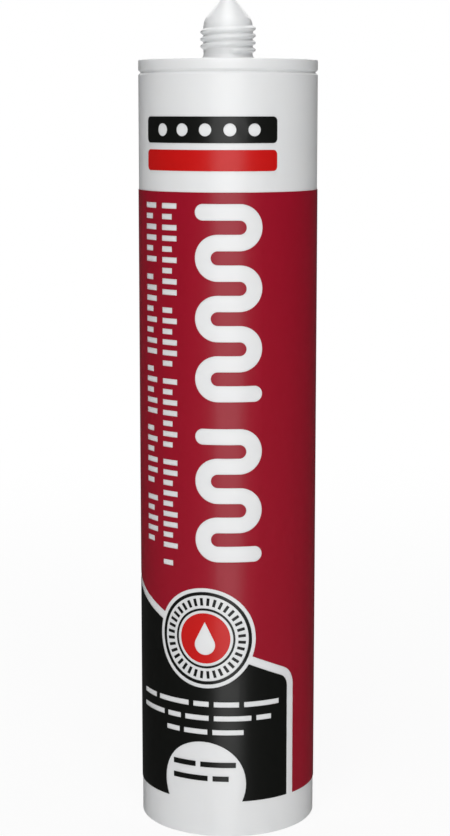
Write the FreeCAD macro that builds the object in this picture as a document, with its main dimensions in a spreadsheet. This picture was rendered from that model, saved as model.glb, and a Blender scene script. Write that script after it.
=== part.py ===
import FreeCAD, Part
import math
import os
import Sketcher

# Sealant cartridge of about 300 ml, standing on its open rear end.
# The origin is the centre of the rear rim, +Z runs to the tip and the printed front faces -Y.

V = FreeCAD.Vector
doc = FreeCAD.newDocument("sealant_cartridge")

# Driving dimensions in millimetres. Places on the print are arc lengths from the front
# centre line, positive to the viewer's right, and heights above the rear rim or the
# distance below the face of the head.
SIZES = [
    ("barrel_dia", 49.3, "outside of the barrel"),
    ("wall", 1.35, "barrel wall"),
    ("head_height", 213.9, "rear rim to the face of the head"),
    ("head_thick", 2.0, "end plate"),
    ("rim_band", 2.75, "band above the groove"),
    ("groove_width", 1.3, "V-groove under the band, along the barrel"),
    ("groove_depth", 0.7, "V-groove, into the wall"),
    ("rim_round", 0.4, "round on the front edge"),
    ("foot_chamfer", 0.3, "bevel on the rear edge"),
    ("mouth_chamfer", 0.6, "lead-in at the rear of the bore"),
    ("corner_chamfer", 1.0, "bevel between the bore and the end plate"),
    ("root_dia", 13.4, "spigot between its threads"),
    ("spigot_wall", 1.6, "wall of the spigot"),
    ("base_round", 1.8, "round where the spigot leaves the head"),
    ("shoulder_height", 10.5, "face of the head to the cone"),
    ("shoulder_round", 3.5, "round between spigot and cone"),
    ("cone_height", 7.4, "closed cone on the spigot"),
    ("tip_dia", 1.2, "flat that ends the cone, before its round"),
    ("tip_round", 1.0, "round at the tip"),
    ("tip_thick", 1.9, "plastic above the hollow of the cone"),
    ("thread_start", 2.24, "face of the head to the thread's first end"),
    ("thread_pitch", 1.92, "rise of the thread in a turn"),
    ("thread_turns", 3.5, "turns of the thread"),
    ("thread_depth", 0.8, "root to crest"),
    ("thread_foot", 1.5, "width of the thread at its root"),
    ("thread_crest", 0.4, "width of the thread at its crest"),
    ("piston_setback", 12.0, "rear rim to the piston"),
    ("piston_length", 22.0, "piston without its boss"),
    ("lip_gap", 0.05, "running clearance of the lips in the bore"),
    ("lip_band", 2.2, "each sealing lip, along the bore"),
    ("lip_relief", 0.8, "skirt set back behind the lips"),
    ("skirt_wall", 1.3, "skirt of the piston"),
    ("crown_thick", 1.8, "crown of the piston"),
    ("boss_dia", 9.0, "boss that empties the spigot"),
    ("boss_height", 3.0, "boss above the crown"),
    ("boss_taper", 0.8, "how much the boss narrows on each side"),
    ("hub_dia", 12.0, "tube under the crown"),
    ("hub_wall", 1.2, "wall of that tube"),
    ("rib_count", 8, "ribs under the crown"),
    ("rib_thick", 1.2, "each rib"),
    ("rib_drop", 6.0, "ribs and tube below the crown"),
    ("paste_gap", 0.3, "clearance round the sealant"),
    ("ink_thick", 0.05, "printed layer"),
    ("ink_lift", 0.1, "barrel to the printed layer"),
    ("print_low", 10.2, "rear rim to the print"),
    ("print_drop", 35.1, "face of the head to the print"),
    ("print_seam", 0.8, "bare strip at the back where the print starts and ends"),
    ("panel_left", -60.0, "far side of the dark panel with its keyline"),
    ("panel_right", 20.25, "near side of the dark panel with its keyline"),
    ("panel_height", 46.0, "panel's corner on the near side"),
    ("panel_slope", 0.43, "rise of the panel's top edge for each mm to the left"),
    ("panel_round", 6.0, "corners of the panel"),
    ("keyline", 2.4, "bare line round the panel"),
    ("badge_across", -6.45, "centre of the badge"),
    ("badge_height", 56.9, "centre of the badge"),
    ("badge_dia", 28.4, "bare disc of the badge"),
    ("badge_rim", 1.1, "bare margin outside its dark ring"),
    ("badge_ring", 0.9, "dark ring"),
    ("badge_core", 14.2, "red centre of the badge"),
    ("core_margin", 0.8, "bare ring round the red centre"),
    ("core_ring", 0.6, "thin dark ring outside that"),
    ("tick_count", 36, "ticks between the two dark rings"),
    ("tick_width", 0.8, "each tick"),
    ("tick_margin", 0.8, "ticks to either ring"),
    ("drop_dia", 5.8, "round end of the bare drop in the badge"),
    ("drop_height", 9.4, "bare drop in the badge"),
    ("disc_across", -7.0, "centre of the bare disc at the foot of the panel"),
    ("disc_height", 15.25, "centre of that disc"),
    ("disc_dia", 24.1, "that disc"),
    ("bead_across", 0.15, "centre of the winding bead"),
    ("bead_width", 18.4, "the bead from side to side"),
    ("bead_stroke", 4.4, "stroke of the bead"),
    ("bead_pitch", 8.12, "one stroke of the bead to the next"),
    ("bead_margin", 3.0, "print's upper edge to the bead, and bead to badge"),
    ("bead_space", 7.3, "between the two runs of the bead"),
    ("rung_width", 1.5, "rungs in the two columns, along the barrel"),
    ("rung_gap", 1.4, "between two rungs"),
    ("rung_break", 3.4, "between two groups of rungs"),
    ("rung_long", 5.2, "longest rung"),
    ("rung_short", 3.6, "shortest rung"),
    ("rungs_near", -19.75, "left end of the near column"),
    ("rungs_far", -27.3, "left end of the far column"),
    ("rungs_rise", 13.0, "panel's upper edge to the columns"),
    ("note_top", 38.15, "first row of short bars on the panel"),
    ("note_pitch", 4.0, "one row of bars to the next"),
    ("note_width", 1.5, "each bar"),
    ("note_gap", 1.4, "between two bars"),
    ("note_long", 10.5, "longest bar"),
    ("note_middle", 7.0, "middling bar"),
    ("note_short", 4.5, "shortest bar"),
    ("note_inset", 2.0, "rows to the keyline"),
    ("note_length", 46.0, "the full rows"),
    ("label_drop", 5.5, "centre of the disc to its first row of bars, upwards"),
    ("label_length", 18.4, "rows of bars in the disc"),
    ("mark_across", -6.15, "centre of the mark on the bare upper band"),
    ("mark_drop", 15.2, "face of the head to the mark"),
    ("mark_width", 39.6, "the mark from side to side"),
    ("mark_bar", 6.95, "dark bar of the mark"),
    ("mark_space", 1.8, "between bar and stripe"),
    ("mark_stripe", 5.55, "red stripe of the mark"),
    ("mark_round", 1.2, "corners of the mark"),
    ("dot_count", 5, "bare dots in the dark bar"),
    ("dot_dia", 3.4, "each dot"),
]

# Of the strokes that fit above the badge, this many twelfths are in the bead's upper run
UPPER_TWELFTHS = 7


def make_sheet():
    sheet = doc.addObject("Spreadsheet::Sheet", "dims")
    for row, (name, value, note) in enumerate(SIZES, start=1):
        sheet.set("A%d" % row, name)
        sheet.set("B%d" % row, str(value))
        sheet.setAlias("B%d" % row, name)
        sheet.set("C%d" % row, note)
    doc.recompute()
    return sheet


dims = make_sheet()

# Places that several pieces share, worked out from the sheet
OUTER = "dims.barrel_dia / 2"
BORE = "(dims.barrel_dia / 2 - dims.wall)"
HEAD = "dims.head_height"
HEAD_UNDER = "(dims.head_height - dims.head_thick)"
ROOT = "dims.root_dia / 2"
SPIGOT_BORE = "(dims.root_dia / 2 - dims.spigot_wall)"
SHOULDER = "(dims.head_height + dims.shoulder_height)"
TOP = "(dims.head_height + dims.shoulder_height + dims.cone_height)"
CROWN = "(dims.piston_setback + dims.piston_length)"


def new_body(name):
    body = doc.addObject("PartDesign::Body", name)
    body.Label = name
    return body


def origin_part(body, role):
    return next(part for part in body.Origin.OriginFeatures if part.Role == role)


def bind_corner(sketch, line, axis, text):
    """Hold a line's first end at a sheet expression, across (0) or up (1)."""
    if text == "0":
        across_axis, up_axis = -1, -2
        on_axis = up_axis if axis == 0 else across_axis
        sketch.addConstraint(Sketcher.Constraint("PointOnObject", line, 1, on_axis))
        return
    kind = ("DistanceX", "DistanceY")[axis]
    value = sketch.evalExpression(text)
    index = sketch.addConstraint(Sketcher.Constraint(kind, -1, 1, line, 1, value))
    sketch.setExpression("Constraints[%d]" % index, text)


def outline(body, name, corners, turn=0):
    """A closed half-section whose corners are pairs of sheet expressions (radius, height)."""
    sketch = body.newObject("Sketcher::SketchObject", name)
    sketch.AttachmentSupport = [(origin_part(body, "XZ_Plane"), "")]
    sketch.MapMode = "FlatFace"
    sketch.AttachmentOffset = FreeCAD.Placement(V(0, 0, 0), V(0, 1, 0), turn)
    points = [V(sketch.evalExpression(a), sketch.evalExpression(b), 0) for a, b in corners]
    count = len(corners)
    for line in range(count):
        sketch.addGeometry(Part.LineSegment(points[line], points[(line + 1) % count]))
    for line in range(count):
        sketch.addConstraint(Sketcher.Constraint("Coincident", line, 2, (line + 1) % count, 1))
    for line, corner in enumerate(corners):
        for axis, text in enumerate(corner):
            bind_corner(sketch, line, axis, text)
    return sketch


def revolve(body, name, corners):
    turned = body.newObject("PartDesign::Revolution", name)
    turned.Profile = outline(body, name + "_outline", corners)
    turned.ReferenceAxis = (origin_part(body, "Z_Axis"), [""])
    turned.Angle = 360
    doc.recompute()
    return turned


def round_ring(body, base, name, size, radius, height):
    """Fillet the round edge that lies at a radius and a height on a turned piece."""
    wanted = (base.evalExpression(radius), base.evalExpression(height))
    edges = []
    for number, edge in enumerate(base.Shape.Edges, start=1):
        if not isinstance(edge.Curve, Part.Circle):
            continue
        if math.dist((edge.Curve.Radius, edge.Curve.Center.z), wanted) < 1e-4:
            edges.append("Edge%d" % number)
    fillet = body.newObject("PartDesign::Fillet", name)
    fillet.Base = (base, edges)
    fillet.setExpression("Radius", size)
    doc.recompute()
    return fillet


def make_cartridge():
    """Barrel, end plate, banded rim and hollow threaded spigot, moulded in one piece."""
    body = new_body("cartridge")
    band_foot = "(dims.head_height - dims.rim_band)"
    corners = [
        (BORE + " + dims.mouth_chamfer", "0"),
        (OUTER + " - dims.foot_chamfer", "0"),
        (OUTER, "dims.foot_chamfer"),
        (OUTER, band_foot + " - dims.groove_width"),
        (OUTER + " - dims.groove_depth", band_foot + " - dims.groove_width / 2"),
        (OUTER, band_foot),
        (OUTER, HEAD),
        (ROOT, HEAD),
        (ROOT, SHOULDER),
        ("dims.tip_dia / 2", TOP),
        ("0", TOP),
        ("0", TOP + " - dims.tip_thick"),
        (SPIGOT_BORE, SHOULDER),
        (SPIGOT_BORE, HEAD_UNDER),
        (BORE + " - dims.corner_chamfer", HEAD_UNDER),
        (BORE, HEAD_UNDER + " - dims.corner_chamfer"),
        (BORE, "dims.mouth_chamfer"),
    ]
    shell = revolve(body, "shell", corners)
    rim = round_ring(body, shell, "rim_edge", "dims.rim_round", OUTER, HEAD)
    base = round_ring(body, rim, "spigot_base", "dims.base_round", ROOT, HEAD)
    shoulder = round_ring(body, base, "shoulder", "dims.shoulder_round", ROOT, SHOULDER)
    round_ring(body, shoulder, "tip", "dims.tip_round", "dims.tip_dia / 2", TOP)
    body.Tip = add_thread(body)
    return body


def add_thread(body):
    """A right-handed ridge that starts at the front, its foot sunk into the spigot."""
    middle = "(dims.head_height + dims.thread_start)"
    sunk = "(dims.root_dia / 2 - dims.spigot_wall / 4)"
    crest = "(dims.root_dia / 2 + dims.thread_depth)"
    corners = [
        (sunk, middle + " - dims.thread_foot / 2"),
        (ROOT, middle + " - dims.thread_foot / 2"),
        (crest, middle + " - dims.thread_crest / 2"),
        (crest, middle + " + dims.thread_crest / 2"),
        (ROOT, middle + " + dims.thread_foot / 2"),
        (sunk, middle + " + dims.thread_foot / 2"),
    ]
    to_the_front = -90
    thread = body.newObject("PartDesign::AdditiveHelix", "thread")
    thread.Profile = outline(body, "thread_outline", corners, to_the_front)
    thread.ReferenceAxis = (origin_part(body, "Z_Axis"), [""])
    thread.Mode = "pitch-turns-angle"
    thread.setExpression("Pitch", "dims.thread_pitch")
    thread.setExpression("Turns", "dims.thread_turns")
    doc.recompute()
    return thread


def make_piston():
    """A cup that opens to the rear, with two sealing lips, a boss, a tube and ribs."""
    body = new_body("piston")
    lip = "(dims.barrel_dia / 2 - dims.wall - dims.lip_gap)"
    skirt = lip + " - dims.lip_relief"
    inside = "(" + skirt + " - dims.skirt_wall)"
    under = "(" + CROWN + " - dims.crown_thick)"
    rib_low = under + " - dims.rib_drop"
    rear = "dims.piston_setback"
    hub = "dims.hub_dia / 2"
    corners = [
        (inside, rear),
        (lip, rear),
        (lip, rear + " + dims.lip_band"),
        (skirt, rear + " + dims.lip_band + dims.lip_relief"),
        (skirt, CROWN + " - dims.lip_band - dims.lip_relief"),
        (lip, CROWN + " - dims.lip_band"),
        (lip, CROWN + " - dims.corner_chamfer"),
        (lip + " - dims.corner_chamfer", CROWN),
        ("dims.boss_dia / 2", CROWN),
        ("dims.boss_dia / 2 - dims.boss_taper", CROWN + " + dims.boss_height"),
        ("0", CROWN + " + dims.boss_height"),
        ("0", under),
        (hub + " - dims.hub_wall", under),
        (hub + " - dims.hub_wall", rib_low),
        (hub, rib_low),
        (hub, under),
        (inside, under),
    ]
    revolve(body, "cup", corners)
    rib_corners = [
        (hub + " - dims.hub_wall / 2", rib_low),
        (inside + " + dims.skirt_wall / 2", rib_low),
        (inside + " + dims.skirt_wall / 2", under + " + dims.crown_thick / 2"),
        (hub + " - dims.hub_wall / 2", under + " + dims.crown_thick / 2"),
    ]
    rib = body.newObject("PartDesign::Pad", "rib")
    rib.Profile = outline(body, "rib_outline", rib_corners)
    rib.Midplane = True
    rib.setExpression("Length", "dims.rib_thick")
    doc.recompute()
    ribs = body.newObject("PartDesign::PolarPattern", "ribs")
    ribs.Originals = [rib]
    ribs.Axis = (origin_part(body, "Z_Axis"), [""])
    ribs.Angle = 360
    ribs.setExpression("Occurrences", "dims.rib_count")
    body.Tip = ribs
    doc.recompute()
    return body


def make_sealant():
    """The paste between piston and end plate, with the plug that fills the spigot."""
    body = new_body("sealant")
    side = BORE + " - dims.paste_gap"
    over_crown = CROWN + " + dims.paste_gap"
    over_boss = CROWN + " + dims.boss_height + dims.paste_gap"
    upper = HEAD_UNDER + " - dims.paste_gap"
    plug = SPIGOT_BORE + " - dims.paste_gap"
    corners = [
        ("dims.boss_dia / 2 + dims.paste_gap", over_crown),
        (side, over_crown),
        (side, upper + " - dims.corner_chamfer"),
        (side + " - dims.corner_chamfer", upper),
        (plug, upper),
        (plug, SHOULDER + " - dims.paste_gap"),
        ("0", TOP + " - dims.tip_thick - 2 * dims.paste_gap"),
        ("0", over_boss),
        ("dims.boss_dia / 2 + dims.paste_gap", over_boss),
    ]
    revolve(body, "fill", corners)
    return body


# Flat artwork: across is the arc length from the front, up is the height


def polygon(points):
    corners = [V(across, up, 0) for across, up in points]
    return Part.Face(Part.makePolygon(corners + corners[:1]))


def disc(across, up, diameter):
    return Part.Face(Part.Wire(Part.makeCircle(diameter / 2, V(across, up, 0))))


def pill(left, right, low, high, radius):
    """A rectangle with round corners."""
    core = box(left + radius, right - radius, low + radius, high - radius)
    return Part.Face(core.OuterWire.makeOffset2D(radius))


def box(left, right, low, high):
    return polygon([(left, low), (right, low), (right, high), (left, high)])


def row_of_bars(left, right, up, width, gap, lengths):
    """Bars of changing length from left to right, the last one cut at the end."""
    bars = []
    start = left
    while right - start > 2 * width:
        end = min(start + lengths[len(bars) % len(lengths)], right)
        bars.append(box(start, end, up - width / 2, up + width / 2))
        start = end + gap
    return bars


def winding_bead(across, high, strokes):
    """One ribbon that runs to and fro in level strokes joined by half rings."""
    half = dims.bead_stroke / 2
    bend = dims.bead_pitch / 2
    end = dims.bead_width / 2 - half
    edges = []
    side = -1
    place = V(across + side * end, high - half, 0)
    for number in range(strokes):
        last = number == strokes - 1
        side = -side
        reach = end if last else end - bend
        turn = V(across + side * reach, place.y, 0)
        edges.append(Part.LineSegment(place, turn).toShape())
        if not last:
            place = turn - V(0, 2 * bend, 0)
            edges.append(Part.Arc(turn, turn + V(side * bend, -bend, 0), place).toShape())
    return Part.Face(Part.Wire(edges).makeOffset2D(half))


def drop_shape(across, up):
    """A round drop with a pointed top, its middle at the given place."""
    radius = dims.drop_dia / 2
    centre = V(across, up - dims.drop_height / 2 + radius, 0)
    point = V(across, up + dims.drop_height / 2, 0)
    lean = math.acos(radius / (point.y - centre.y))
    touch = [centre + V(side * radius * math.sin(lean), radius * math.cos(lean), 0)
             for side in (-1, 1)]
    foot = centre - V(0, radius, 0)
    edges = [
        Part.LineSegment(point, touch[0]).toShape(),
        Part.Arc(touch[0], foot, touch[1]).toShape(),
        Part.LineSegment(touch[1], point).toShape(),
    ]
    return Part.Face(Part.Wire(edges))


def print_sheet():
    """The whole printed field, from one side of the seam to the other."""
    half = math.pi * dims.barrel_dia / 2 - dims.print_seam / 2
    return box(-half, half, dims.print_low, dims.head_height - dims.print_drop)


def panel_edge(across):
    return dims.panel_height + (dims.panel_right - across) * dims.panel_slope


def panel_shape(inset):
    """The panel with its oblique top edge, shrunk by an inset, running out at the bottom."""
    left, right = dims.panel_left, dims.panel_right
    inner = polygon([
        (left, -dims.head_height),
        (right, -dims.head_height),
        (right, panel_edge(right)),
        (left, panel_edge(left)),
    ])
    core = inner.OuterWire.makeOffset2D(-dims.panel_round)
    return Part.Face(core.makeOffset2D(dims.panel_round - inset))


def note_row(left, right, row, first):
    """One row of short bars, its lengths taken in turn and each row starting further on."""
    lengths = (dims.note_middle, dims.note_long, dims.note_short)
    lengths = lengths[row:] + lengths[:row]
    up = first - row * dims.note_pitch
    return row_of_bars(left, right, up, dims.note_width, dims.note_gap, lengths)


def note_rows():
    """Three rows of short bars on the panel, the last one shorter at both ends."""
    right = dims.panel_right - dims.keyline - dims.note_inset
    left = right - dims.note_length
    shift = dims.note_length / 4
    bars = note_row(left, right, 0, dims.note_top) + note_row(left, right, 1, dims.note_top)
    return bars + note_row(left + shift, right - shift, 2, dims.note_top)


def label_rows():
    """Two rows of short bars inside the bare disc."""
    left = dims.disc_across - dims.label_length / 2
    right = dims.disc_across + dims.label_length / 2
    first = dims.disc_height + dims.label_drop
    return note_row(left, right, 0, first) + note_row(left, right, 1, first)


def bead_runs():
    """Two runs of the winding bead, as many strokes as fit between print edge and badge."""
    high = dims.head_height - dims.print_drop - dims.bead_margin
    low = dims.badge_height + dims.badge_dia / 2 + dims.bead_margin
    bare = 2 * dims.bead_stroke + dims.bead_space - 2 * dims.bead_pitch
    total = int((high - low - bare) / dims.bead_pitch)
    upper = round(total * UPPER_TWELFTHS / 12)
    upper_foot = high - (upper - 1) * dims.bead_pitch - dims.bead_stroke
    return [
        winding_bead(dims.bead_across, high, upper),
        winding_bead(dims.bead_across, upper_foot - dims.bead_space, total - upper),
    ]


def rung_column(left, groups):
    """Crosswise rungs in groups, from the bead's upper edge down to a rise above the panel."""
    top = dims.head_height - dims.print_drop - dims.bead_margin
    low = panel_edge(left) + dims.rungs_rise
    reaches = (dims.rung_long, dims.rung_short, dims.rung_long, dims.rung_long, dims.rung_short)
    rungs = []
    group = 0
    in_group = 0
    while top - dims.rung_width > low:
        right = left + reaches[len(rungs) % len(reaches)]
        rungs.append(box(left, right, top - dims.rung_width, top))
        top -= dims.rung_width + dims.rung_gap
        in_group += 1
        if in_group == groups[group % len(groups)]:
            top -= dims.rung_break - dims.rung_gap
            group += 1
            in_group = 0
    return rungs


def badge_marks():
    """The badge's two dark rings and the ticks that stand between them."""
    middle = V(dims.badge_across, dims.badge_height, 0)
    outer = dims.badge_dia / 2 - dims.badge_rim
    inner = dims.badge_core / 2 + dims.core_margin + dims.core_ring
    marks = [ring_shape(outer, dims.badge_ring), ring_shape(inner, dims.core_ring)]
    near = inner + dims.tick_margin
    far = outer - dims.badge_ring - dims.tick_margin
    tick = box(middle.x + near, middle.x + far, middle.y - dims.tick_width / 2,
               middle.y + dims.tick_width / 2)
    count = round(dims.tick_count)
    for number in range(count):
        turned = tick.copy()
        turned.rotate(middle, V(0, 0, 1), 360 / count * (number + 0.5))
        marks.append(turned)
    return marks


def ring_shape(radius, width):
    """A flat ring round the badge's centre, measured inwards from its outside."""
    whole = disc(dims.badge_across, dims.badge_height, 2 * radius)
    return whole.cut(disc(dims.badge_across, dims.badge_height, 2 * (radius - width)))


def mark_shapes():
    """A dark bar with a row of bare dots, over a red stripe."""
    left = dims.mark_across - dims.mark_width / 2
    right = dims.mark_across + dims.mark_width / 2
    high = dims.head_height - dims.mark_drop
    low = high - dims.mark_bar
    bar = pill(left, right, low, high, dims.mark_round)
    step = dims.mark_width / (dims.dot_count + 1)
    dots = [disc(left + step * (number + 1), (low + high) / 2, dims.dot_dia)
            for number in range(round(dims.dot_count))]
    stripe_high = low - dims.mark_space
    stripe = pill(left, right, stripe_high - dims.mark_stripe, stripe_high, dims.mark_round)
    return bar.cut(dots), stripe


def wrap_wire(wire):
    """Lay a closed flat outline round the barrel, a hair's breadth off its outer surface."""
    radius = dims.barrel_dia / 2
    surface = Part.Cylinder()
    surface.Radius = radius + dims.ink_lift
    front = -math.pi / 2
    edges = []
    for edge in wire.OrderedEdges:
        flat = edge.Curve.toBSpline(edge.FirstParameter, edge.LastParameter)
        poles = [FreeCAD.Base.Vector2d(p.x / radius + front, p.y) for p in flat.getPoles()]
        curve = Part.Geom2d.BSplineCurve2d()
        curve.buildFromPolesMultsKnots(poles, flat.getMultiplicities(), flat.getKnots(),
                                       False, flat.Degree, flat.getWeights())
        edges.append(curve.toShape(surface, curve.FirstParameter, curve.LastParameter))
    return Part.Face(surface, Part.Wire(edges))


def ink(name, artwork):
    """Flat shapes wrapped round the barrel and given the thickness of the printed layer."""
    layers = []
    for shape in artwork:
        for flat in shape.Faces:
            field = wrap_wire(flat.OuterWire)
            holes = [wrap_wire(wire) for wire in flat.Wires if not wire.isSame(flat.OuterWire)]
            if holes:
                field = field.cut(holes).Faces[0]
            layers.append(field.makeOffsetShape(dims.ink_thick, 1e-4, fill=True))
    feature = doc.addObject("Part::Feature", name)
    feature.Label = name
    feature.Shape = Part.makeCompound(layers)
    return feature


def make_print():
    """Crimson, dark and red inks; what is white on the front is the bare barrel."""
    field = print_sheet()
    badge = disc(dims.badge_across, dims.badge_height, dims.badge_dia)
    foot_disc = disc(dims.disc_across, dims.disc_height, dims.disc_dia)
    mark_bar, mark_stripe = mark_shapes()

    rungs = rung_column(dims.rungs_near, (9, 6, 7)) + rung_column(dims.rungs_far, (6, 8, 5))
    crimson = field.cut([panel_shape(0), badge] + bead_runs() + rungs)

    panel = panel_shape(dims.keyline).common(field).cut([badge, foot_disc] + note_rows())

    core = disc(dims.badge_across, dims.badge_height, dims.badge_core)
    core = core.cut(drop_shape(dims.badge_across, dims.badge_height))

    return [
        ink("print_crimson", [crimson]),
        ink("print_black", [panel, mark_bar] + badge_marks() + label_rows()),
        ink("print_red", [core, mark_stripe]),
    ]


def check_and_write(pieces):
    for item in doc.Objects:
        if "Invalid" in item.State or "Error" in item.State:
            raise ValueError("%s could not be worked out: %s" % (item.Name, item.State))
    os.makedirs("parts", exist_ok=True)
    for piece in pieces:
        if piece.Shape.isNull() or not piece.Shape.isValid():
            raise ValueError("%s has no valid shape" % piece.Label)
        piece.Shape.exportStep("parts/%s.step" % piece.Label)
        print("%s: %d solids, %.1f mm3" % (piece.Label, len(piece.Shape.Solids), piece.Shape.Volume))


pieces = [make_cartridge(), make_piston(), make_sealant()] + make_print()
doc.recompute()
check_and_write(pieces)
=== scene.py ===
import math
import bpy
import numpy as np
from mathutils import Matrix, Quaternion, Vector


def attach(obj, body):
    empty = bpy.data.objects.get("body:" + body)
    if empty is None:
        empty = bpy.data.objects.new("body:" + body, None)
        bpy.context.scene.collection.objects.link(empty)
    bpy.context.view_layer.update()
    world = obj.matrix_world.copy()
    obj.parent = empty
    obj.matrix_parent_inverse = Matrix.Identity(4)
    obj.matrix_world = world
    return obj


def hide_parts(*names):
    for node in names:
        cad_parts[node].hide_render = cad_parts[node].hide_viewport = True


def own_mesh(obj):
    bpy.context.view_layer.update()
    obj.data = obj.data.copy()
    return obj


# Sealant cartridge standing on its open rear end. The print keeps its CAD layers. The moulded
# pieces and the paste inside are worked out here around the same axis, in millimetres, and
# newPiece turns them to metres.

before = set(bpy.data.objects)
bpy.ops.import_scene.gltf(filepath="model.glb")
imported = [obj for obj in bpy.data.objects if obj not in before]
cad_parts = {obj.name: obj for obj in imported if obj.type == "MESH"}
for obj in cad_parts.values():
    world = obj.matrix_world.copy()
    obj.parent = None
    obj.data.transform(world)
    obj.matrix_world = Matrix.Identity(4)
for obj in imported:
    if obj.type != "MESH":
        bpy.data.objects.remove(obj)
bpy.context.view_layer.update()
scene = bpy.context.scene
millimetre = 0.001
print("stage: frame loaded with", len(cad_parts), "nodes")


def toLinear(hexColour):
    # sRGB hex to the linear colour that shaders work in
    parts = np.array([int(hexColour[k:k + 2], 16) for k in (1, 3, 5)]) / 255
    linear = np.where(parts <= 0.04045, parts / 12.92, ((parts + 0.055) / 1.055) ** 2.4)
    return (*linear.tolist(), 1.0)


def addNode(tree, kind, sockets=None, **settings):
    # One node with its settings; a socket is given a constant or another node's output
    node = tree.nodes.new(kind)
    for name, value in settings.items():
        setattr(node, name, value)
    for key, value in (sockets or {}).items():
        if isinstance(value, bpy.types.NodeSocket):
            tree.links.new(value, node.inputs[key])
        else:
            node.inputs[key].default_value = value
    return node


def newMaterial(name):
    # An empty node material and its tree
    material = bpy.data.materials.new(name)
    material.use_nodes = True
    material.node_tree.nodes.clear()
    return material, material.node_tree


# The camera stands where the photograph was taken, a little under the rim's height
cameraPlace = {
    "sideways": -0.83,  # mm from the tube's axis
    "distance": 535.4,  # mm in front of it
    "height": 200.5,  # mm above the floor
    "tiltDown": 9.129,  # degrees
    "lens": 82.65,  # mm, on the sensor below
    "sensor": 36.0,
}
cameraData = bpy.data.cameras.new("photoCamera")
cameraData.lens = cameraPlace["lens"]
cameraData.sensor_width = cameraPlace["sensor"]
camera = bpy.data.objects.new("photoCamera", cameraData)
camera.location = (cameraPlace["sideways"] * millimetre, -cameraPlace["distance"] * millimetre,
                   cameraPlace["height"] * millimetre)
camera.rotation_euler = (math.radians(90 - cameraPlace["tiltDown"]), 0, 0)
scene.collection.objects.link(camera)
scene.camera = camera


# Softboxes as (name, azimuth from the front, height, distance, width, tall, lean, watts), in metres
# and degrees: a tall one in front, leaning to the left, gives the single band of sheen that drifts
# to the right down the barrel, a weaker one lights the back and a small one the cone and the head
softboxes = [
    ("frontSoftbox", -2, 0.90, 1.5, 1.32, 4.4, 5, 41.4),
    ("rearSoftbox", 180, 1.20, 1.3, 1.80, 1.2, 0, 14.0),
    ("topSoftbox", 0, 1.40, 0.05, 0.90, 0.9, 0, 5.0),
]
tubeMiddle = np.array([0.0, 0.0, 0.115])  # what every softbox points at


def addSoftbox(name, azimuth, height, distance, width, tall, lean, watts):
    # A rectangular lamp that stands off the tube's axis, points at its middle and leans to a side
    light = bpy.data.lights.new(name, "AREA")
    light.shape = "RECTANGLE"
    light.size = width
    light.size_y = tall
    light.energy = watts
    lamp = bpy.data.objects.new(name, light)
    turn = math.radians(azimuth)
    lamp.location = (distance * math.sin(turn), -distance * math.cos(turn), height)
    aim = tubeMiddle - np.array(lamp.location)
    aimed = Vector(aim).to_track_quat("-Z", "Y") @ Quaternion((0, 0, 1), math.radians(lean))
    lamp.rotation_euler = aimed.to_euler()
    lamp.visible_camera = False
    scene.collection.objects.link(lamp)


for softbox in softboxes:
    addSoftbox(*softbox)


# The camera sees white all round. Reflections see a white sweep behind the tube (+Y) in a dim room,
# and the light that falls on the tube gets an even weak fill
surroundings = {
    "white": 1.0, "dimRoom": 0.04, "fill": 0.02,
    "sweepFrom": 0.97, "sweepTo": 0.998,  # the sweep's soft edge, as the Y part of a direction
}
world = bpy.data.worlds.new("studio")
world.use_nodes = True
scene.world = world
tree = world.node_tree
tree.nodes.clear()
path = addNode(tree, "ShaderNodeLightPath")
mirrored = addNode(tree, "ShaderNodeMath", {
    0: path.outputs["Is Glossy Ray"], 1: path.outputs["Is Transmission Ray"],
}, operation="MAXIMUM")
generated = addNode(tree, "ShaderNodeTexCoord").outputs["Generated"]
direction = addNode(tree, "ShaderNodeSeparateXYZ", {0: generated})
sweep = addNode(tree, "ShaderNodeMapRange", {
    "Value": direction.outputs["Y"],
    "From Min": surroundings["sweepFrom"], "From Max": surroundings["sweepTo"],
    "To Min": surroundings["dimRoom"], "To Max": surroundings["white"],
}, interpolation_type="SMOOTHSTEP")
light = addNode(tree, "ShaderNodeMix", {
    0: mirrored.outputs[0], 2: surroundings["fill"], 3: sweep.outputs[0]})
light = addNode(tree, "ShaderNodeMix", {
    0: path.outputs["Is Camera Ray"], 2: light.outputs[0], 3: surroundings["white"]})
backdrop = addNode(tree, "ShaderNodeBackground", {
    "Color": toLinear("#ffffff"), "Strength": light.outputs[0]})
addNode(tree, "ShaderNodeOutputWorld", {"Surface": backdrop.outputs[0]})


# Pale painted floor: mostly its own white to the camera, so that only a faint shadow shows on it
floorLook = {
    "half": 4.0,  # metres from the middle to a side
    "paint": "#f2f2f2",
    "glowNear": 0.88, "near": 0.12, "far": 0.6,  # the glow is whole from far outwards, in metres
}
floorMesh = bpy.data.meshes.new("studioFloor")
side = floorLook["half"]
floorCorners = [(-side, -side, 0), (side, -side, 0), (side, side, 0), (-side, side, 0)]
floorMesh.from_pydata(floorCorners, [], [(0, 1, 2, 3)])
floor = bpy.data.objects.new("studioFloor", floorMesh)
scene.collection.objects.link(floor)
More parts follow.
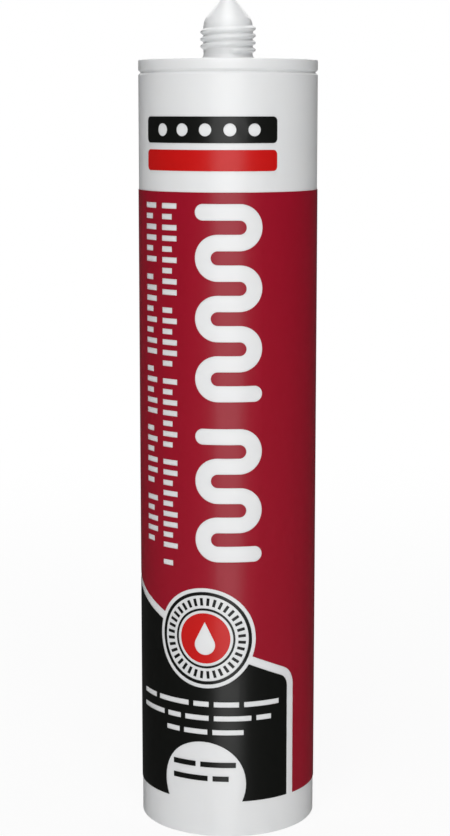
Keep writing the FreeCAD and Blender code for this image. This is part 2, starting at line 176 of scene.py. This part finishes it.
# The front softbox reaches below the floor, so that its sheen runs down to the foot
floor.visible_glossy = False
floor.visible_shadow = False
floorPaint, tree = newMaterial("painted studio floor")
path = addNode(tree, "ShaderNodeLightPath")
seen = addNode(tree, "ShaderNodeMath", {
    0: path.outputs["Is Camera Ray"], 1: path.outputs["Is Glossy Ray"]}, operation="MAXIMUM")
seen = addNode(tree, "ShaderNodeMath", {
    0: seen.outputs[0], 1: path.outputs["Is Transmission Ray"]}, operation="MAXIMUM")
place = addNode(tree, "ShaderNodeTexCoord").outputs["Object"]
away = addNode(tree, "ShaderNodeVectorMath", {0: place}, operation="LENGTH")
glowing = addNode(tree, "ShaderNodeMapRange", {
    "Value": away.outputs["Value"], "From Min": floorLook["near"], "From Max": floorLook["far"],
    "To Min": floorLook["glowNear"], "To Max": 1.0}, interpolation_type="SMOOTHSTEP")
share = addNode(tree, "ShaderNodeMath", {
    0: seen.outputs[0], 1: glowing.outputs[0]}, operation="MULTIPLY")
paint = addNode(tree, "ShaderNodeBsdfDiffuse", {"Color": toLinear(floorLook["paint"])})
glow = addNode(tree, "ShaderNodeEmission", {"Color": toLinear("#ffffff"), "Strength": 1.0})
both = addNode(tree, "ShaderNodeMixShader", {
    0: share.outputs[0], 1: paint.outputs[0], 2: glow.outputs[0]})
addNode(tree, "ShaderNodeOutputMaterial", {"Surface": both.outputs[0]})
floorMesh.materials.append(floorPaint)
print("stage: camera, softboxes and floor placed")


def patternScale(size):
    # The noise scale whose cells are about so many millimetres wide
    return 1 / (size * millimetre)


def mouldedPlastic(name, look):
    # Moulded polyethylene: milky body, satin skin with fine orange peel and faint draw lines
    material, tree = newMaterial(name)
    place = addNode(tree, "ShaderNodeTexCoord").outputs["Object"]
    cloud = addNode(tree, "ShaderNodeTexNoise", {
        "Vector": place, "Scale": patternScale(look["cloud"]), "Detail": 3.0})
    colour = addNode(tree, "ShaderNodeMix", {
        0: cloud.outputs["Fac"], 6: toLinear(look["shade"]), 7: toLinear(look["body"]),
    }, data_type="RGBA")
    peel = addNode(tree, "ShaderNodeTexNoise", {
        "Vector": place, "Scale": patternScale(look["peel"]), "Detail": 2.0})
    stretch = (1, 1, look["peel"] / look["drawLength"])
    drawn = addNode(tree, "ShaderNodeMapping", {"Vector": place, "Scale": stretch})
    lines = addNode(tree, "ShaderNodeTexNoise", {
        "Vector": drawn.outputs[0], "Scale": patternScale(look["peel"]), "Detail": 1.0})
    gloss = addNode(tree, "ShaderNodeMapRange", {
        "Value": peel.outputs["Fac"], "To Min": look["glossy"], "To Max": look["dull"]})
    relief = addNode(tree, "ShaderNodeMath", {
        0: peel.outputs["Fac"], 1: lines.outputs["Fac"]}, operation="ADD")
    bump = addNode(tree, "ShaderNodeBump", {
        "Height": relief.outputs[0], "Strength": 1.0, "Distance": look["relief"] * millimetre})
    skin = addNode(tree, "ShaderNodeBsdfPrincipled", {
        "Base Color": colour.outputs[2], "Roughness": gloss.outputs[0], "Normal": bump.outputs[0],
        "IOR": look["ior"], "Specular IOR Level": look["sheen"],
        "Subsurface Weight": look["milky"], "Subsurface Radius": look["bleed"],
        "Subsurface Scale": look["depth"] * millimetre})
    addNode(tree, "ShaderNodeOutputMaterial", {"Surface": skin.outputs[0]})
    return material


def printedInk(name, look):
    # Cured ink on polyethylene: even colour, slight mottle, a satin skin over fine orange peel
    material, tree = newMaterial(name)
    place = addNode(tree, "ShaderNodeTexCoord").outputs["Object"]
    mottle = addNode(tree, "ShaderNodeTexNoise", {
        "Vector": place, "Scale": patternScale(look["mottle"]), "Detail": 4.0})
    colour = addNode(tree, "ShaderNodeMix", {
        0: mottle.outputs["Fac"], 6: toLinear(look["thin"]), 7: toLinear(look["full"]),
    }, data_type="RGBA")
    peel = addNode(tree, "ShaderNodeTexNoise", {
        "Vector": place, "Scale": patternScale(look["peel"]), "Detail": 2.0})
    gloss = addNode(tree, "ShaderNodeMapRange", {
        "Value": mottle.outputs["Fac"], "To Min": look["glossy"], "To Max": look["dull"]})
    bump = addNode(tree, "ShaderNodeBump", {
        "Height": peel.outputs["Fac"], "Strength": 1.0,
        "Distance": look["relief"] * millimetre})
    skin = addNode(tree, "ShaderNodeBsdfPrincipled", {
        "Base Color": colour.outputs[2], "Roughness": gloss.outputs[0], "Normal": bump.outputs[0],
        "IOR": look["ior"], "Specular IOR Level": look["sheen"]})
    addNode(tree, "ShaderNodeOutputMaterial", {"Surface": skin.outputs[0]})
    return material


# In the looks, lengths are in millimetres, and glossy and dull are the ends of the roughness
# White high-density polyethylene, injection moulded: cool white with a soft satin sheen
barrelLook = {
    "body": "#eceded", "shade": "#e8e9ea", "cloud": 30, "peel": 0.9, "drawLength": 30,
    "relief": 0.006, "glossy": 0.28, "dull": 0.34, "ior": 1.51, "sheen": 0.58,
    "milky": 0.12, "depth": 1.2, "bleed": (1.0, 0.92, 0.84),
}
# Natural low-density polyethylene, injection moulded: waxy, greyer and duller than the barrel
pistonLook = {
    "body": "#e4e7ea", "shade": "#dbdfe3", "cloud": 12, "peel": 0.7, "drawLength": 10,
    "relief": 0.008, "glossy": 0.42, "dull": 0.52, "ior": 1.50, "sheen": 0.4,
    "milky": 0.25, "depth": 1.5, "bleed": (1.0, 0.92, 0.84),
}
# Three cured inks, rolled on with one satin skin: crimson field, charcoal panel, bright red accents
inkSkin = {
    "mottle": 1.6, "peel": 0.6, "relief": 0.004, "glossy": 0.28, "dull": 0.34,
    "ior": 1.5, "sheen": 0.38,
}
crimsonLook = {"full": "#980720", "thin": "#9d0b27", **inkSkin}
charcoalLook = {"full": "#0e0f0d", "thin": "#131412", **inkSkin}
redLook = {"full": "#c60c0a", "thin": "#cb120f", **inkSkin}
inks = {
    "print_crimson": printedInk("crimson ink, rolled and cured", crimsonLook),
    "print_black": printedInk("charcoal ink, rolled and cured", charcoalLook),
    "print_red": printedInk("red ink, rolled and cured", redLook),
}
for node, ink in inks.items():
    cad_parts[node].material_slots[0].material = ink
print("stage: inks on", len(inks), "printed layers")


nearlyStraight = 1.5  # radians, half the angle at a corner that needs no round
sharpFold = 32  # degrees, above which an edge is shaded as a fold


def roundedLine(corners, steps=8):
    # A profile through corners (radius, height, round), with an arc tangent to both sides at each
    points = np.array([corner[:2] for corner in corners], float)
    rounds = [corner[2] for corner in corners[1:]]
    made = [points[:1]]
    for before, corner, after, size in zip(points, points[1:], points[2:], rounds):
        inward, outward = before - corner, after - corner
        inward = inward / np.linalg.norm(inward)
        outward = outward / np.linalg.norm(outward)
        half = math.acos(np.clip(inward @ outward, -1, 1)) / 2
        if size == 0 or half > nearlyStraight:
            made.append(corner[None, :])
            continue
        between = (inward + outward) / np.linalg.norm(inward + outward)
        middle = corner + between * size / math.sin(half)
        first = corner + inward * size / math.tan(half)
        last = corner + outward * size / math.tan(half)
        start = math.atan2(first[1] - middle[1], first[0] - middle[0])
        sweep = math.atan2(last[1] - middle[1], last[0] - middle[0]) - start
        sweep = (sweep + math.pi) % (2 * math.pi) - math.pi
        turn = start + sweep * np.linspace(0, 1, steps + 1)
        made.append(middle + size * np.stack([np.cos(turn), np.sin(turn)], 1))
    made.append(points[-1:])
    return np.concatenate(made)


def alongLine(line):
    # Length run along a profile up to each of its points
    return np.concatenate([[0], np.cumsum(np.linalg.norm(np.diff(line, axis=0), axis=1))])


def denser(line, spacing, low, high):
    # The same profile with extra points at a spacing where the run along it is between low and high
    run = alongLine(line)
    extra = np.arange(low, high, spacing)
    every = np.unique(np.round(np.concatenate([run, extra]), 7))  # equal places become one
    return np.stack([np.interp(every, run, line[:, k]) for k in (0, 1)], 1)


def turnedFaces(rows, columns):
    # Quads between the rows of a closed ring grid whose first and last rows are single pole points,
    # and the triangles round those two
    i, j = np.meshgrid(np.arange(rows - 3), np.arange(columns), indexing="ij")
    following = (j + 1) % columns
    corner = 1 + i * columns
    quads = np.stack([corner + j, corner + columns + j,
                      corner + columns + following, corner + following], -1)
    ring = np.arange(columns)
    after = (ring + 1) % columns
    foot = 1 + (rows - 3) * columns
    last = 1 + (rows - 2) * columns
    cap = np.stack([np.zeros(columns, int), 1 + ring, 1 + after], 1)
    base = np.stack([np.full(columns, last), foot + after, foot + ring], 1)
    return [quads.reshape(-1, 4), np.concatenate([cap, base])]


def turnedSolid(radius, height):
    # A solid of revolution on a grid: x = r cos a, y = r sin a, z = h, with r and h given at each
    # row and angle; the first and last rows lie on the axis
    rows, columns = radius.shape
    angle = np.linspace(0, 2 * math.pi, columns, endpoint=False)
    grid = np.stack([radius * np.cos(angle), radius * np.sin(angle), height], -1)
    points = np.concatenate([grid[0, :1], grid[1:-1].reshape(-1, 3), grid[-1, :1]])
    return points, turnedFaces(rows, columns)


def turnedRing(line, columns):
    # A ring of revolution from a closed profile that stays off the axis, same formula as the solid
    angle = np.linspace(0, 2 * math.pi, columns, endpoint=False)
    radius, height = line[:, :1], line[:, 1:]
    grid = np.stack([radius * np.cos(angle), radius * np.sin(angle), height + 0 * angle], -1)
    rows = len(line)
    i, j = np.meshgrid(np.arange(rows), np.arange(columns), indexing="ij")
    below, following = (i + 1) % rows, (j + 1) % columns
    quads = np.stack([i * columns + j, below * columns + j, below * columns + following,
                      i * columns + following], -1)
    return grid.reshape(-1, 3), [quads.reshape(-1, 4)]


def newPiece(name, parts, material):
    # One object from parts, each its points in millimetres and its faces in one array for each
    # number of corners, shaded smooth with sharp folds kept
    points = np.concatenate([part[0] for part in parts]) * millimetre
    faces = []
    start = 0
    for partPoints, partFaces in parts:
        for group in partFaces:
            faces += (group + start).tolist()
        start += len(partPoints)
    mesh = bpy.data.meshes.new(name)
    mesh.from_pydata(points.tolist(), [], faces)
    mesh.validate()
    mesh.shade_smooth()
    mesh.set_sharp_from_angle(angle=math.radians(sharpFold))
    mesh.materials.append(material)
    piece = bpy.data.objects.new(name, mesh)
    scene.collection.objects.link(piece)
    print("stage:", name, "has", len(mesh.polygons), "faces")
    return piece


# Cartridge body, one moulding, in millimetres: the same sizes as its CAD solid, with rounded edges
cartridge = {
    "outer": 24.65, "wall": 1.35, "head": 213.9, "headThick": 2.0,
    "rimBand": 2.75, "grooveWidth": 1.3, "grooveDepth": 0.7, "rimRound": 0.4, "grooveRound": 0.12,
    "footRound": 0.25, "mouth": 0.6, "mouthRound": 0.2, "boreRound": 0.3,
    "cornerBevel": 1.0, "cornerRound": 0.4, "hollowRound": 0.6,
    "root": 6.7, "spigotWall": 1.6, "baseRound": 1.8, "shoulder": 10.5, "shoulderRound": 3.5,
    "cone": 7.4, "tipFlat": 0.6, "tipRound": 1.0, "tipThick": 1.9,
    "threadStart": 2.24, "pitch": 1.92, "turns": 3.5, "threadDepth": 0.8, "threadFoot": 1.8,
    "threadCrest": 0.45, "threadFade": 0.07, "flankStraight": 0.55,
    "swellAbove": 0.5, "swellWithin": 0.8,  # limits of what thread and seam swell
    "seamHeight": 0.05, "seamWidth": 0.16, "seamFade": 0.5, "seamStop": 1.0,
    "columns": 256, "threadRows": 0.08, "denseFrom": 8.6, "denseTo": 19.4,  # along the half-section
}


def cartridgeProfile(c):
    # Half-section from the tip down the outside, round the foot and up the inside to the hollow
    bore = c["outer"] - c["wall"]
    under = c["head"] - c["headThick"]
    band = c["head"] - c["rimBand"]
    shoulder = c["head"] + c["shoulder"]
    top = shoulder + c["cone"]
    hollow = c["root"] - c["spigotWall"]
    return roundedLine([
        (0, top, 0), (c["tipFlat"], top, c["tipRound"]), (c["root"], shoulder, c["shoulderRound"]),
        (c["root"], c["head"], c["baseRound"]), (c["outer"], c["head"], c["rimRound"]),
        (c["outer"], band, c["grooveRound"]),
        (c["outer"] - c["grooveDepth"], band - c["grooveWidth"] / 2, c["grooveRound"]),
        (c["outer"], band - c["grooveWidth"], c["grooveRound"]),
        (c["outer"], 0, c["footRound"]), (bore + c["mouth"], 0, c["mouthRound"]),
        (bore, c["mouth"], c["boreRound"]), (bore, under - c["cornerBevel"], c["cornerRound"]),
        (bore - c["cornerBevel"], under, c["cornerRound"]), (hollow, under, c["cornerRound"]),
        (hollow, shoulder, c["hollowRound"]), (0, top - c["tipThick"], 0)])


def threadRidge(c, angle, height):
    # How far the thread stands proud: turn number n = (height - start) / pitch less the angle's
    # share of a turn; the distance to the nearest whole n gives the rounded trapezoid, and both
    # ends of the thread fade out
    share = ((angle + math.pi / 2) / (2 * math.pi)) % 1
    turn = (height - c["head"] - c["threadStart"]) / c["pitch"] - share
    nearest = np.round(turn)
    distance = np.abs(turn - nearest) * c["pitch"]
    flank = (c["threadFoot"] - c["threadCrest"]) / 2
    ramp = np.clip((c["threadFoot"] / 2 - distance) / flank, 0, 1)
    curved = ramp ** 2 * (3 - 2 * ramp)
    ramp = c["flankStraight"] * ramp + (1 - c["flankStraight"]) * curved
    along = nearest + share
    fade = np.clip(np.minimum(along, c["turns"] - along) / c["threadFade"], 0, 1)
    return c["threadDepth"] * ramp * fade ** 2 * (3 - 2 * fade)


def mouldSeam(c, angle, height):
    # A fine raised line where the two halves of the thread mould meet, on both sides of the spigot:
    # a bell curve of the distance round the root, faded at its upper and lower ends
    nearest = np.abs((angle + math.pi / 2) % math.pi - math.pi / 2) * c["root"]
    low = c["head"] + c["baseRound"]
    high = c["head"] + c["shoulder"] - c["seamStop"]
    reach = np.clip((height - low) / c["seamFade"], 0, 1)
    reach = reach * np.clip((high - height) / c["seamFade"], 0, 1)
    return c["seamHeight"] * np.exp(-(nearest / c["seamWidth"]) ** 2) * reach


def cartridgeSurface(c):
    # Rows follow the half-section and columns the angle; thread and seam swell the spigot's radius
    line = denser(cartridgeProfile(c), c["threadRows"], c["denseFrom"], c["denseTo"])
    angle = np.linspace(0, 2 * math.pi, c["columns"], endpoint=False)[None, :]
    radius, height = line[:, :1] + 0 * angle, line[:, 1:] + 0 * angle
    onSpigot = (height > c["head"] + c["swellAbove"]) & (radius > c["root"] - c["swellWithin"])
    swell = threadRidge(c, angle, height) + mouldSeam(c, angle, height)
    return turnedSolid(np.where(onSpigot, radius + swell, radius), height)


barrelPlastic = mouldedPlastic("white polyethylene, injection moulded", barrelLook)
cartridgeBody = newPiece("cartridgeBody", [cartridgeSurface(cartridge)], barrelPlastic)
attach(cartridgeBody, "cartridge")
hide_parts("cartridge")


# Piston, a cup that opens to the rear, in millimetres
piston = {
    "rear": 12.0, "length": 22.0, "lip": 23.25, "lipBand": 2.2, "lipRelief": 0.8, "bevel": 1.0,
    "skirt": 1.3, "crown": 1.8, "boss": 4.5, "bossHeight": 3.0, "bossTaper": 0.8,
    "hub": 6.0, "hubWall": 1.2, "ribDrop": 6.0, "ribs": 8, "ribThick": 1.2, "edge": 0.25,
    "cupRound": 0.6, "hubRound": 0.4, "arcSteps": 5, "tongueSteps": 8, "columns": 160,
}


def pistonProfile(p):
    # Half-section from the boss down the skirt's outside, round its rear edge and up to the hub
    crown = p["rear"] + p["length"]
    skirt = p["lip"] - p["lipRelief"]
    inside = skirt - p["skirt"]
    under = crown - p["crown"]
    ribLow = under - p["ribDrop"]
    e = p["edge"]
    return roundedLine([
        (0, crown + p["bossHeight"], 0), (p["boss"] - p["bossTaper"], crown + p["bossHeight"], e),
        (p["boss"], crown, e), (p["lip"] - p["bevel"], crown, e), (p["lip"], crown - p["bevel"], e),
        (p["lip"], crown - p["lipBand"], e), (skirt, crown - p["lipBand"] - p["lipRelief"], e),
        (skirt, p["rear"] + p["lipBand"] + p["lipRelief"], e),
        (p["lip"], p["rear"] + p["lipBand"], e), (p["lip"], p["rear"], e),
        (inside, p["rear"], e), (inside, under, p["cupRound"]),
        (p["hub"], under, p["hubRound"]), (p["hub"], ribLow, e),
        (p["hub"] - p["hubWall"], ribLow, e), (p["hub"] - p["hubWall"], under, p["hubRound"]),
        (0, under, 0)], steps=p["arcSteps"])


def ribBlock(p, turn):
    # A rib: a tongue section with a round lower edge, carried straight out from hub to skirt
    crown = p["rear"] + p["length"]
    under = crown - p["crown"]
    half = p["ribThick"] / 2
    bend = np.linspace(0, math.pi, p["tongueSteps"] + 1)
    across = np.concatenate([[half], half * np.cos(bend), [-half]])
    into = [under + p["crown"] / 2]
    up = np.concatenate([into, under - p["ribDrop"] + half - half * np.sin(bend), into])
    reach = np.array([p["hub"] - p["hubWall"] / 2, p["lip"] - p["lipRelief"] - p["skirt"] / 2])
    out = reach[:, None] + 0 * across
    x = out * math.cos(turn) - across * math.sin(turn)
    y = out * math.sin(turn) + across * math.cos(turn)
    points = np.stack([x, y, up + 0 * out], -1).reshape(-1, 3)
    count = len(across)
    ring = np.arange(count)
    after = (ring + 1) % count
    sides = np.stack([ring, after, count + after, count + ring], 1)
    ends = np.stack([ring[::-1], count + ring])
    return points, [sides, ends]


def pistonParts(p):
    # The cup, its half-section turned round the axis, and the ribs at equal angles
    line = pistonProfile(p)
    angle = np.linspace(0, 2 * math.pi, p["columns"], endpoint=False)[None, :]
    cup = turnedSolid(line[:, :1] + 0 * angle, line[:, 1:] + 0 * angle)
    return [cup] + [ribBlock(p, 2 * math.pi * k / p["ribs"]) for k in range(p["ribs"])]


pistonPlastic = mouldedPlastic("natural polyethylene, injection moulded", pistonLook)
pistonCup = newPiece("pistonCup", pistonParts(piston), pistonPlastic)
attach(pistonCup, "piston")
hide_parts("piston")


# The paste inside, in millimetres: a thick ring over the piston's crown and a core over its boss
paste = {
    "side": 23.0, "low": 34.3, "high": 211.6, "bevel": 1.0, "split": 4.8, "hair": 0.05,
    "footRound": 0.4, "shoulderRound": 0.5,
    "coreLow": 37.3, "coreShoulder": 224.1, "coreTop": 229.3, "columns": 96,
    "ringEnd": 211.75, "coreEnd": 223.9,  # the ends that stay in place
    "ringKeep": 0.0005, "coreKeep": 0.049,  # the share of the length left at the limit
}
# White acrylic sealant, a smooth thick paste: dead white with a wet low gloss
pasteLook = {
    "full": "#efefec", "thin": "#eaeae6", "mottle": 6, "peel": 2, "relief": 0.02,
    "glossy": 0.35, "dull": 0.5, "ior": 1.45, "sheen": 0.5,
}


def pasteRing(p):
    # The half-section from the split out to the side, turned round the axis
    inner = p["split"] + p["hair"]
    line = roundedLine([(inner, p["high"], 0), (p["side"], p["high"], p["bevel"]),
                        (p["side"], p["low"], p["footRound"]), (inner, p["low"], 0)])
    return turnedRing(line, p["columns"])


def pasteCore(p):
    # The half-section inside the split, from the boss into the spigot, turned round the axis
    outer = p["split"] - p["hair"]
    line = roundedLine([(0, p["coreTop"], 0), (outer, p["coreShoulder"], p["shoulderRound"]),
                        (outer, p["coreLow"], p["footRound"]), (0, p["coreLow"], 0)])
    angle = np.linspace(0, 2 * math.pi, p["columns"], endpoint=False)[None, :]
    return turnedSolid(line[:, :1] + 0 * angle, line[:, 1:] + 0 * angle)


whitePaste = printedInk("acrylic sealant, extruded paste", pasteLook)
sealantRing = newPiece("sealantRing", [pasteRing(paste)], whitePaste)
sealantCore = newPiece("sealantCore", [pasteCore(paste)], whitePaste)
for piece, end, keep in ((sealantRing, paste["ringEnd"], paste["ringKeep"]),
                         (sealantCore, paste["coreEnd"], paste["coreKeep"])):
    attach(piece, "cartridge")
    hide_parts("sealant")
    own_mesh(piece)

scene.view_settings.view_transform = "Standard"
